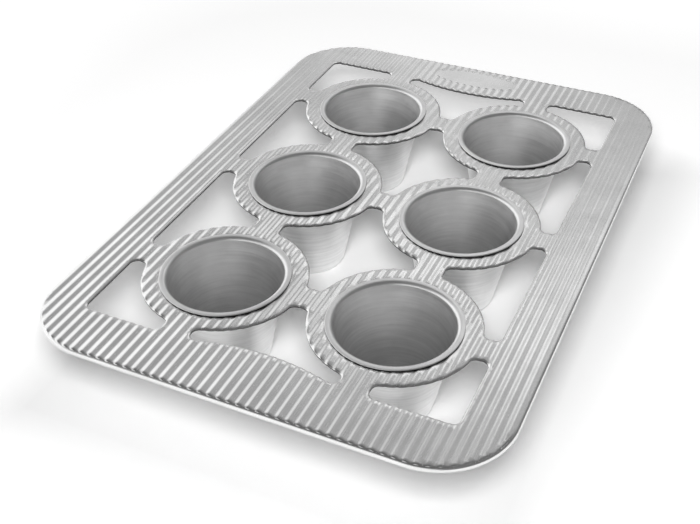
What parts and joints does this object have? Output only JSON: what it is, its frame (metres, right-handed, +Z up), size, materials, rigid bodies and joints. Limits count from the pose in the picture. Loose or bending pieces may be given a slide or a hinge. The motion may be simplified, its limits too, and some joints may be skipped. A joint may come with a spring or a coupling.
{
  "type": "popover pan",
  "caption": "Popover pan: deep tapered cups set in a ridged, pierced sheet of metal whose edge is rolled over a wire, for baking tall popovers.",
  "frame": {"origin": "centre of the pan's outline, on the surface under the cups", "axes": "+Y along the pan towards its back end, +X across it to the right, +Z up out of the cups"},
  "size_m": [0.282, 0.4, 0.0619],
  "materials": {
    "aluminised_sheet": "satin",
    "drawn_cup": "satin",
    "steel_wire": "drawn"
  },
  "bodies": {
    "root": {"frame": "aluminised_sheet", "rim_wire": "steel_wire", "cup_front_left": "drawn_cup", "cup_front_right": "drawn_cup", "cup_middle_left": "drawn_cup", "cup_middle_right": "drawn_cup", "cup_back_left": "drawn_cup", "cup_back_right": "drawn_cup"}
  },
  "joints": []
}
